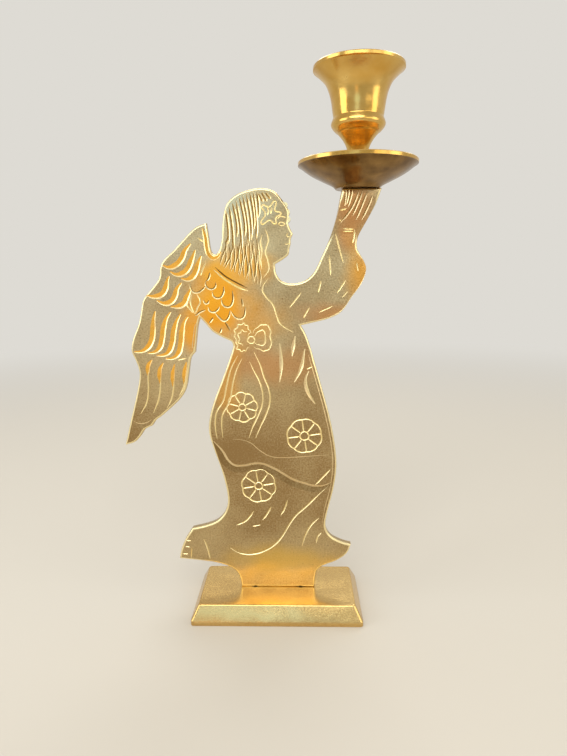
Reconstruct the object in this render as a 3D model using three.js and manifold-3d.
// Brass taper candle holder: a flat cast angel stands on a hollow plinth and lifts a drip pan and a turned cup.
// Millimetres, +Z up. The figure looks towards +X, and its engraved front faces -Y.
import * as THREE from 'three';
import { mergeVertices } from 'three/addons/utils/BufferGeometryUtils.js';
import Module from 'manifold-3d';

const wasm = await Module();
wasm.setup();

// Plinth: a shell casting, open underneath, with an upright lip and four sloped sides.
const PLINTH_LENGTH = 94;
const PLINTH_DEPTH = 50;
const PLINTH_HEIGHT = 10.5;
const PLINTH_LIP = 2.6;
const PLINTH_SLOPE_RUN = 3.7;
const PLINTH_WALL = 3;
const PLINTH_CORNER = 1.6;
const PLINTH_EASING = 0.5;

// Figure: one flat casting, measured from wing tip to finger tips and from foot to crown.
// The sharp tip of its wing is at least so many roundings of the edge long.
const FIGURE_WIDTH = 138.6;
const FIGURE_HEIGHT = 221;
const PLATE_THICKNESS = 5;
const PLATE_ROUNDING = 1;
const TIP_ROUNDINGS = 5.3;
const FOOT_WIDTH = 42.2;
const HAND_WIDTH = 19.6;
const HAND_THICKNESS = 9;
const HAND_SWELL = 26;
const FRINGE_CURL = 3.4;

// Two lugs under the foot go through the plinth's top and carry washers and nuts.
const LUG_DIAMETER = 4.8;
const LUG_SPACING = 26;
const LUG_PROUD = 0.9;
const LUG_CLEARANCE = 0.3;
const WASHER_DIAMETER = 10;
const WASHER_THICKNESS = 1;
const NUT_WIDTH = 8;
const NUT_HEIGHT = 4;
const NUT_CHAMFER = 0.5;

// Drip pan: a shallow dish with a flat seat, resting on the raised hand.
const PAN_DIAMETER = 59.6;
const PAN_HEIGHT = 12.3;
const PAN_SEAT_DIAMETER = 22.4;
const PAN_WALL = 1.7;

// Candle cup: a turned bell with a round knop at its socket floor, a slim neck and a small foot.
const CUP_HEIGHT = 55.3;
const CUP_RIM_DIAMETER = 44.4;
const CUP_WALL = 1.4;
const CUP_NECK_DIAMETER = 9.6;
const CUP_FOOT_DIAMETER = 15;
const CUP_FOOT_EDGE = 1.4;
const KNOP_SWELL = 1.1;
const CANDLE_BORE = 22.2;
const SOCKET_DEPTH = 28;

// A headless stud draws the cup and the pan down on the hand.
const STUD_DIAMETER = 4;
const STUD_IN_HAND = 9;
const STUD_IN_CUP = 10;
const STUD_SETBACK = 2.1;
const STUD_CHAMFER = 0.5;
const STUD_CLEARANCE = 0.3;
const SEAT_GAP = 0.1;

// Facets: steps round a turned piece, and steps between two points of a drawn curve.
const TURNED_FACETS = 32;
const SMALL_FACETS = 20;
const CURVE_STEPS = 3;

// The figure as drawn at full size: x from the foot's middle, z up from the foot's seat.
// Each stretch is one smooth curve, and stretches meet in corners, clockwise from the foot's left end.
const DRAWING = {
  hemUnderside: [[-21.1, 0], [-21.6, 4.5], [-23.6, 9.2], [-28, 12.3], [-36, 14.8], [-46, 16.1], [-56.4, 17.2]],
  trainEnd: [[-56.4, 17.2], [-55.2, 23], [-52.4, 29.5], [-48.3, 35.7]],
  gownBack: [
    [-48.3, 35.7], [-40.2, 37.7], [-34, 40.3], [-30, 44.6], [-27.8, 50.5], [-28, 58], [-30.6, 70], [-34.6, 82.6],
    [-37, 92], [-36.4, 100.5], [-33.6, 110.2], [-28.6, 122.6], [-24.3, 134], [-22.4, 139.9],
  ],
  wingRoot: [[-22.4, 139.9], [-23.4, 142.6], [-27.6, 144.6], [-33.2, 147.9], [-36.5, 151.8], [-39.8, 155.6]],
  innerQuills: [[-39.8, 155.6], [-41.2, 150.6], [-42.3, 142.5], [-43, 136.9]],
  longQuills: [[-43, 136.9], [-45.6, 133.6], [-47, 125.8], [-48.8, 117], [-53, 110.4], [-62.9, 101.6]],
  middleTip: [[-62.9, 101.6], [-66, 99.4], [-68.3, 96.2]],
  outerTip: [[-68.3, 96.2], [-72.4, 94.2], [-75.2, 90.2], [-78.6, 86.8], [-83.9, 85.2]],
  thirdFeathers: [[-83.9, 85.2], [-79.8, 100.5], [-75.5, 116], [-73.8, 126], [-76, 133.8]],
  secondFeathers: [[-76, 133.8], [-77.5, 138], [-76.4, 144], [-72.6, 153], [-70.7, 161.2]],
  firstFeathers: [[-70.7, 161.2], [-69.4, 165.6], [-64, 171.8], [-60.6, 176.4], [-59.9, 181.3]],
  wingArch: [[-59.9, 181.3], [-58, 185.4], [-52, 190.9], [-45.1, 198], [-40, 202.3], [-34.8, 204]],
  nape: [[-34.8, 204], [-33.8, 196.5], [-33, 190.4], [-30.9, 188.1], [-28.4, 190.5], [-26.9, 196.4]],
  hair: [
    [-26.9, 196.4], [-26.2, 206], [-24, 213.6], [-18.6, 218.2], [-12, 220.4], [-5.6, 221], [0.6, 219.4], [5, 214.4],
  ],
  forehead: [[5, 214.4], [7.4, 210.6], [7.8, 206.8], [7.3, 203.6]],
  nose: [[7.3, 203.6], [8.4, 200.9], [9.8, 198.2]],
  chin: [[9.8, 198.2], [8.7, 195.6], [8.6, 193], [7.9, 190.4], [7.4, 187.7], [4.4, 185.3], [0.4, 183]],
  shoulder: [
    [0.4, 183], [0.9, 178.2], [4, 174.2], [9.6, 172.9], [15.8, 174.3], [20.8, 178.6], [24.6, 186.2], [29, 196],
    [32.3, 206.4], [34.1, 215.8], [35.1, 220],
  ],
  seat: [[35.1, 220], [54.7, 220]],
  forearm: [
    [54.7, 220], [51.8, 212.2], [47, 203.4], [43.2, 196.2], [43, 190.4], [46.2, 185], [47.9, 179.8], [45.6, 172.6],
    [40.6, 165.8], [35.4, 158.2], [28.8, 154.6], [20, 152.4], [13.7, 151],
  ],
  gownFront: [
    [13.7, 151], [16.4, 146.2], [19.4, 137.4], [24.4, 119.6], [29.2, 101.6], [32.2, 86], [33.3, 73], [31.8, 60],
    [28.6, 46.6], [27.3, 37.6], [30, 31.6], [36, 28], [41.8, 26.2],
  ],
  heelUnderside: [[41.8, 26.2], [39.6, 20.6], [33.6, 16.2], [25.6, 12.8], [22.2, 9], [21.1, 0]],
};
const FRINGE = [[5.6, 212.4], [6.7, 209], [6.9, 205.4]];
const drawnPoints = Object.values(DRAWING).flat();
const drawnX = drawnPoints.map(([x]) => x);
const drawnZ = drawnPoints.map(([, z]) => z);
const stretchX = FIGURE_WIDTH / (Math.max(...drawnX) - Math.min(...drawnX));
const stretchZ = FIGURE_HEIGHT / Math.max(...drawnZ);
const onFigure = ([x, z]) => new THREE.Vector2(x * stretchX, z * stretchZ);

// Places that several pieces share. The object stands on z = 0 with its bounding box centred on x = 0 and y = 0.
const [seatLeft, seatRight] = DRAWING.seat.map(onFigure);
const seatMiddle = (seatLeft.x + seatRight.x) / 2;
const seatHeight = PLINTH_HEIGHT + seatLeft.y;
const cupAxis = seatMiddle - STUD_SETBACK;
const wingTip = Math.min(...drawnX) * stretchX;
const tipRoom = TIP_ROUNDINGS * PLATE_ROUNDING;
const plinthMiddle = -(wingTip + cupAxis + PAN_DIAMETER / 2) / 2;
const ceiling = PLINTH_HEIGHT - PLINTH_WALL;
const lugEnd = ceiling - WASHER_THICKNESS - NUT_HEIGHT - LUG_PROUD;
const lugHole = LUG_DIAMETER / 2 + LUG_CLEARANCE;
const studHole = STUD_DIAMETER / 2 + STUD_CLEARANCE;
const panSeat = seatHeight + SEAT_GAP;
const cupSeat = panSeat + PAN_WALL + SEAT_GAP;
const socketFloor = CUP_HEIGHT - SOCKET_DEPTH;

// Solids from meshes and back
function toSolid(geometry) {
  const bare = new THREE.BufferGeometry();
  bare.setAttribute('position', geometry.getAttribute('position').clone());
  bare.setIndex(geometry.getIndex());
  const merged = mergeVertices(bare, 1e-4);
  const corners = merged.getIndex().array;
  const triangles = [];
  for (let i = 0; i < corners.length; i += 3) {
    const [a, b, c] = corners.slice(i, i + 3);
    if (a !== b && b !== c && c !== a) triangles.push(a, b, c);
  }
  return new wasm.Manifold(new wasm.Mesh({
    numProp: 3,
    vertProperties: new Float32Array(merged.getAttribute('position').array),
    triVerts: new Uint32Array(triangles),
  }));
}

function toGeometry(solid) {
  const mesh = solid.getMesh();
  const geometry = new THREE.BufferGeometry();
  geometry.setAttribute('position', new THREE.BufferAttribute(new Float32Array(mesh.vertProperties), 3));
  geometry.setIndex(new THREE.BufferAttribute(new Uint32Array(mesh.triVerts), 1));
  geometry.computeVertexNormals();
  return geometry;
}

// Curves
const vector = (x, y) => new THREE.Vector2(x, y);
const smooth = (points) => new THREE.SplineCurve(points).getPoints(CURVE_STEPS * (points.length - 1));

// A line pushed to the left of its direction of travel
function offsetLine(points, distance) {
  return points.map((point, i) => {
    const before = points[Math.max(i - 1, 0)];
    const after = points[Math.min(i + 1, points.length - 1)];
    const along = after.clone().sub(before).normalize();
    return vector(point.x - along.y * distance, point.y + along.x * distance);
  });
}

// The half round that closes a wall's edge, from its outer side over to its inner side
function roundedEdge(outer, inner) {
  const middle = outer.clone().add(inner).divideScalar(2);
  const steps = 4;
  const turns = Array.from({ length: steps - 1 }, (_, i) => ((i + 1) / steps) * Math.PI);
  return turns.map((turn) => outer.clone().rotateAround(middle, turn));
}

// A turned piece: a profile of radius and height, revolved about +Z
function turned(profile, facets) {
  return toSolid(new THREE.LatheGeometry(profile, facets).rotateX(Math.PI / 2));
}

function rod(radius, from, to) {
  return turned([vector(0, from), vector(radius, from), vector(radius, to), vector(0, to)], SMALL_FACETS);
}

// Closed body through a stack of rings with equal numbers of points
function loft(rings) {
  const count = rings[0].length;
  const positions = rings.flat().flatMap((point) => point.toArray());
  const indices = [];
  for (let ring = 0; ring + 1 < rings.length; ring += 1) {
    for (let i = 0; i < count; i += 1) {
      const next = (i + 1) % count;
      const [a, b] = [ring * count + i, ring * count + next];
      indices.push(a, b, b + count, a, b + count, a + count);
    }
  }
  const top = (rings.length - 1) * count;
  for (let i = 1; i + 1 < count; i += 1) {
    indices.push(0, i + 1, i);
    indices.push(top, top + i, top + i + 1);
  }
  const geometry = new THREE.BufferGeometry();
  geometry.setAttribute('position', new THREE.Float32BufferAttribute(positions, 3));
  geometry.setIndex(indices);
  return toSolid(geometry);
}

// A level rectangle with round corners, all round the plinth at one height
function plinthRing(inset, height) {
  const x = PLINTH_LENGTH / 2 - inset - PLINTH_CORNER;
  const y = PLINTH_DEPTH / 2 - inset - PLINTH_CORNER;
  const shape = new THREE.Shape();
  shape.absarc(x, y, PLINTH_CORNER, 0, Math.PI / 2);
  shape.absarc(-x, y, PLINTH_CORNER, Math.PI / 2, Math.PI);
  shape.absarc(-x, -y, PLINTH_CORNER, Math.PI, 1.5 * Math.PI);
  shape.absarc(x, -y, PLINTH_CORNER, 1.5 * Math.PI, 2 * Math.PI);
  return shape.getPoints(4).map((point) => new THREE.Vector3(point.x, point.y, height));
}

function plinth() {
  const slopeTop = PLINTH_HEIGHT - PLINTH_EASING;
  const outside = loft([
    plinthRing(0, 0),
    plinthRing(0, PLINTH_LIP),
    plinthRing(PLINTH_SLOPE_RUN, slopeTop),
    plinthRing(PLINTH_SLOPE_RUN + PLINTH_EASING, PLINTH_HEIGHT),
  ]);
  const hollow = loft([
    plinthRing(PLINTH_WALL, -1),
    plinthRing(PLINTH_WALL, PLINTH_LIP),
    plinthRing(PLINTH_WALL + PLINTH_SLOPE_RUN * ((ceiling - PLINTH_LIP) / (slopeTop - PLINTH_LIP)), ceiling),
  ]);
  const hole = rod(lugHole, 0, PLINTH_HEIGHT + 1);
  return lugPlaces().reduce((body, x) => body.subtract(hole.translate([x, 0, 0])), outside.subtract(hollow));
}

function lugPlaces() {
  return [-LUG_SPACING / 2, LUG_SPACING / 2];
}

// The figure's outline, with the foot and the hand's seat at their own set widths, and room for the wing tip's edge
function figureShape() {
  const points = Object.values(DRAWING).flatMap((stretch) => {
    const placed = stretch.map(onFigure);
    if (stretch === DRAWING.outerTip) placed.at(-2).x = Math.max(placed.at(-2).x, wingTip + tipRoom);
    return (stretch.length > 2 ? smooth(placed) : placed).slice(0, -1);
  });
  points.at(0).x = -FOOT_WIDTH / 2;
  points.push(vector(FOOT_WIDTH / 2, 0));
  points.filter((point) => point.distanceTo(seatLeft) < 1e-6).forEach((point) => {
    point.x = seatMiddle - HAND_WIDTH / 2;
  });
  points.filter((point) => point.distanceTo(seatRight) < 1e-6).forEach((point) => {
    point.x = seatMiddle + HAND_WIDTH / 2;
  });
  return new THREE.Shape(points);
}

// A plate in the figure's outline, upright on z = 0, with rounded edges
function figureSlab(thickness) {
  const depth = thickness - 2 * PLATE_ROUNDING;
  const geometry = new THREE.ExtrudeGeometry(figureShape(), {
    depth,
    bevelSize: PLATE_ROUNDING,
    bevelOffset: -PLATE_ROUNDING,
    bevelThickness: PLATE_ROUNDING,
    bevelSegments: 2,
  });
  return toSolid(geometry.rotateX(Math.PI / 2).translate(0, depth / 2, 0));
}

// The hand swells from the wrist up to its seat, so that it can take the stud.
function handSwell() {
  const half = HAND_THICKNESS / 2;
  const side = smooth([
    vector(half, seatLeft.y + 1),
    vector(half, seatLeft.y - HAND_SWELL * 0.15),
    vector(half * 0.78, seatLeft.y - HAND_SWELL * 0.55),
    vector(PLATE_THICKNESS * 0.4, seatLeft.y - HAND_SWELL),
  ]);
  const mirrored = side.map((point) => vector(-point.x, point.y)).reverse();
  const wedge = new THREE.ExtrudeGeometry(new THREE.Shape([...side, ...mirrored]), {
    depth: 2 * HAND_WIDTH,
    bevelEnabled: false,
  });
  wedge.rotateX(Math.PI / 2).rotateZ(Math.PI / 2).translate(seatMiddle - HAND_WIDTH, 0, 0);
  return figureSlab(HAND_THICKNESS).intersect(toSolid(wedge));
}

// Short curls of hair over the forehead, each a small round that stands proud of the outline
function fringe() {
  const radius = FRINGE_CURL / 2;
  const curl = toSolid(new THREE.CylinderGeometry(radius, radius, PLATE_THICKNESS - PLATE_ROUNDING, SMALL_FACETS));
  return FRINGE.map(onFigure).map((middle) => curl.translate([middle.x, 0, middle.y]));
}

function angel() {
  const root = PLATE_THICKNESS / 2;
  const lug = rod(LUG_DIAMETER / 2, lugEnd - PLINTH_HEIGHT, root);
  const drilled = rod(studHole, -STUD_IN_HAND - STUD_CHAMFER, STUD_IN_HAND).translate([cupAxis, 0, seatLeft.y]);
  const body = figureSlab(PLATE_THICKNESS).add(handSwell()).subtract(drilled);
  const lugs = lugPlaces().map((x) => lug.translate([x, 0, 0]));
  return [...lugs, ...fringe()].reduce((figure, added) => figure.add(added), body);
}

function washer() {
  const [inner, outer] = [lugHole, WASHER_DIAMETER / 2];
  const profile = [
    vector(inner, 0),
    vector(outer, 0),
    vector(outer, WASHER_THICKNESS),
    vector(inner, WASHER_THICKNESS),
    vector(inner, 0),
  ];
  return turned(profile, SMALL_FACETS);
}

// A hexagon nut with both faces chamfered
function nut() {
  const corner = NUT_WIDTH / 2 / Math.cos(Math.PI / 6);
  const hexagon = toSolid(new THREE.CylinderGeometry(corner, corner, NUT_HEIGHT, 6).rotateX(Math.PI / 2))
    .translate([0, 0, NUT_HEIGHT / 2]);
  const envelope = turned([
    vector(0, 0),
    vector(NUT_WIDTH / 2, 0),
    vector(corner, NUT_CHAMFER),
    vector(corner, NUT_HEIGHT - NUT_CHAMFER),
    vector(NUT_WIDTH / 2, NUT_HEIGHT),
    vector(0, NUT_HEIGHT),
  ], SMALL_FACETS);
  return hexagon.intersect(envelope).subtract(rod(lugHole, -1, NUT_HEIGHT + 1));
}

function pan() {
  const [seat, rim] = [PAN_SEAT_DIAMETER / 2, PAN_DIAMETER / 2];
  const flare = rim - seat;
  const underside = smooth([
    vector(seat, 0),
    vector(seat + flare * 0.1, PAN_HEIGHT * 0.15),
    vector(seat + flare * 0.37, PAN_HEIGHT * 0.37),
    vector(seat + flare * 0.71, PAN_HEIGHT * 0.66),
    vector(rim, PAN_HEIGHT),
  ]);
  const inside = offsetLine(underside, PAN_WALL).filter((point) => point.y > 1.1 * PAN_WALL);
  const profile = [
    vector(studHole, 0),
    ...underside,
    ...roundedEdge(underside.at(-1), inside.at(-1)),
    ...inside.reverse(),
    vector(seat - PAN_WALL, PAN_WALL),
    vector(studHole, PAN_WALL),
    vector(studHole, 0),
  ];
  return turned(profile, TURNED_FACETS);
}

function cup() {
  const [bore, neck, foot] = [CANDLE_BORE / 2, CUP_NECK_DIAMETER / 2, CUP_FOOT_DIAMETER / 2];
  const waist = bore + CUP_WALL;
  const waistHeight = socketFloor + 5;
  const flare = CUP_RIM_DIAMETER / 2 - waist;
  const bellHeight = CUP_HEIGHT - waistHeight;
  const bell = smooth([[0, 0], [0.06, 0.17], [0.13, 0.37], [0.25, 0.57], [0.49, 0.78], [1, 1]]
    .map(([out, up]) => vector(waist + flare * out, waistHeight + bellHeight * up)));
  const inside = offsetLine(bell, CUP_WALL);
  const pillar = smooth([
    vector(foot, CUP_FOOT_EDGE),
    vector(neck + 0.3 * (foot - neck), 0.18 * socketFloor),
    vector(neck, 0.45 * socketFloor),
    vector(neck + 0.12 * (waist - neck), 0.66 * socketFloor),
    vector(neck + 0.4 * (waist - neck), 0.81 * socketFloor),
    vector(neck + 0.72 * (waist - neck), 0.915 * socketFloor),
  ]);
  const knop = smooth([
    vector(waist - KNOP_SWELL, socketFloor - 1.6),
    vector(waist + KNOP_SWELL * 0.6, socketFloor + 0.4),
    vector(waist + KNOP_SWELL, socketFloor + 2.2),
    vector(waist, waistHeight),
  ]);
  const studTop = STUD_IN_CUP + STUD_CHAMFER;
  const profile = [
    vector(0, studTop),
    vector(studHole, studTop),
    vector(studHole, 0),
    vector(foot, 0),
    ...pillar,
    ...knop.slice(0, -1),
    ...bell,
    ...roundedEdge(bell.at(-1), inside.at(-1)),
    ...inside.reverse(),
    vector(bore, socketFloor),
    vector(0, socketFloor),
  ];
  return turned(profile, TURNED_FACETS);
}

function stud() {
  const length = STUD_IN_HAND + PAN_WALL + 2 * SEAT_GAP + STUD_IN_CUP;
  const radius = STUD_DIAMETER / 2;
  return turned([
    vector(0, 0),
    vector(radius - STUD_CHAMFER, 0),
    vector(radius, STUD_CHAMFER),
    vector(radius, length - STUD_CHAMFER),
    vector(radius - STUD_CHAMFER, length),
    vector(0, length),
  ], SMALL_FACETS);
}

// Assembly
const satinBrass = { color: 0xb39152, roughness: 0.38, metalness: 1 };
const polishedBrass = { color: 0xc4a25c, roughness: 0.2, metalness: 1 };
const platedSteel = { color: 0x9a9a96, roughness: 0.4, metalness: 1 };

function piece(name, solid, finish, x, z) {
  const mesh = new THREE.Mesh(toGeometry(solid), new THREE.MeshStandardMaterial(finish));
  mesh.name = name;
  mesh.position.set(plinthMiddle + x, 0, z);
  return mesh;
}

const holder = new THREE.Group();
holder.name = 'angel_candle_holder';
holder.add(piece('base_plinth', plinth(), satinBrass, 0, 0));
holder.add(piece('angel_plate', angel(), satinBrass, 0, PLINTH_HEIGHT));
['left', 'right'].forEach((side, i) => {
  const x = lugPlaces()[i];
  holder.add(piece(`lug_washer_${side}`, washer(), platedSteel, x, ceiling - WASHER_THICKNESS));
  holder.add(piece(`lug_nut_${side}`, nut(), platedSteel, x, ceiling - WASHER_THICKNESS - NUT_HEIGHT));
});
holder.add(piece('drip_pan', pan(), polishedBrass, cupAxis, panSeat));
holder.add(piece('candle_cup', cup(), polishedBrass, cupAxis, cupSeat));
holder.add(piece('cup_stud', stud(), platedSteel, cupAxis, seatHeight - STUD_IN_HAND));

export default holder;
